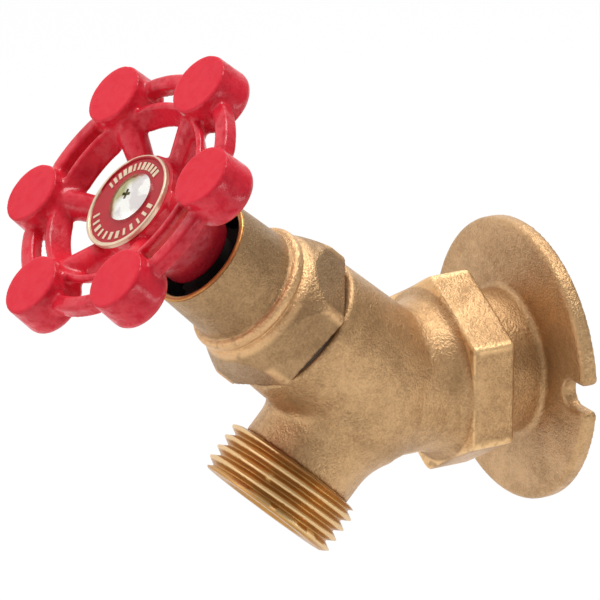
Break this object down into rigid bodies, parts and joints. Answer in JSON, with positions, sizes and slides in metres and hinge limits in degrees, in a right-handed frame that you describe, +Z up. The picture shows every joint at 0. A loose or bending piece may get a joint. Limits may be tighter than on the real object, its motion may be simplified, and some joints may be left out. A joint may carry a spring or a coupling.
{
  "type": "sillcock",
  "caption": "Outdoor wall tap with a red knobbed handwheel, slanted hooded bonnet, cast brass body with wall flange and a downward hose spout.",
  "frame": {"origin": "centre of the wall flange's rear face, on the axis of the inlet", "axes": "+Y into the wall along the inlet's axis, the tap reaches out along -Y, +Z up, X = 0 is the plane of symmetry of the casting"},
  "size_m": [0.0534, 0.1008, 0.0944],
  "materials": {
    "cast_brass": "sand-cast grain, machined threads",
    "bonnet_brass": "sand-cast grain, bright machined hood mouth",
    "gasket_fibre": "pressed dark fibre",
    "washer_rubber": "black rubber",
    "turned_brass": "turned",
    "spring_steel": "spring wire",
    "screw_brass": "turned",
    "stem_brass": "turned",
    "packing_brass": "stamped",
    "packing_graphite_lower": "graphite packing",
    "packing_graphite_upper": "graphite packing",
    "gland_brass": "turned",
    "nut_brass": "turned",
    "wheel_enamel": "glossy red paint on cast metal",
    "plate_enamel": "red enamel with a bare gold-coloured rim",
    "screw_zinc": "bright zinc plating"
  },
  "bodies": {
    "valve": {"valve_body": "cast_brass", "bonnet": "bonnet_brass", "bonnet_gasket": "gasket_fibre", "packing_washer": "packing_brass", "packing_ring_lower": "packing_graphite_lower", "packing_ring_upper": "packing_graphite_upper", "packing_gland": "gland_brass", "packing_nut": "nut_brass"},
    "disc": {"disc_holder": "turned_brass", "seat_washer": "washer_rubber", "bib_screw": "screw_brass"},
    "spindle": {"stem": "stem_brass", "holder_clip": "spring_steel", "handwheel": "wheel_enamel", "index_plate": "plate_enamel", "wheel_screw": "screw_zinc"}
  },
  "joints": [
    {"name": "stem_rise", "type": "slide", "parent": "valve", "child": "disc", "axis": [0, -0.7431, 0.6691], "range_m": [0, 0.0054]},
    {"name": "wheel_turn", "type": "hinge", "parent": "disc", "child": "spindle", "pos_m": [0, -0.0315, 0], "axis": [0, -0.7431, 0.6691], "range_deg": [0, 676]}
  ],
  "couplings": [
    {"joint": "wheel_turn", "follows": "stem_rise", "rad_per_m": 2181.7}
  ]
}
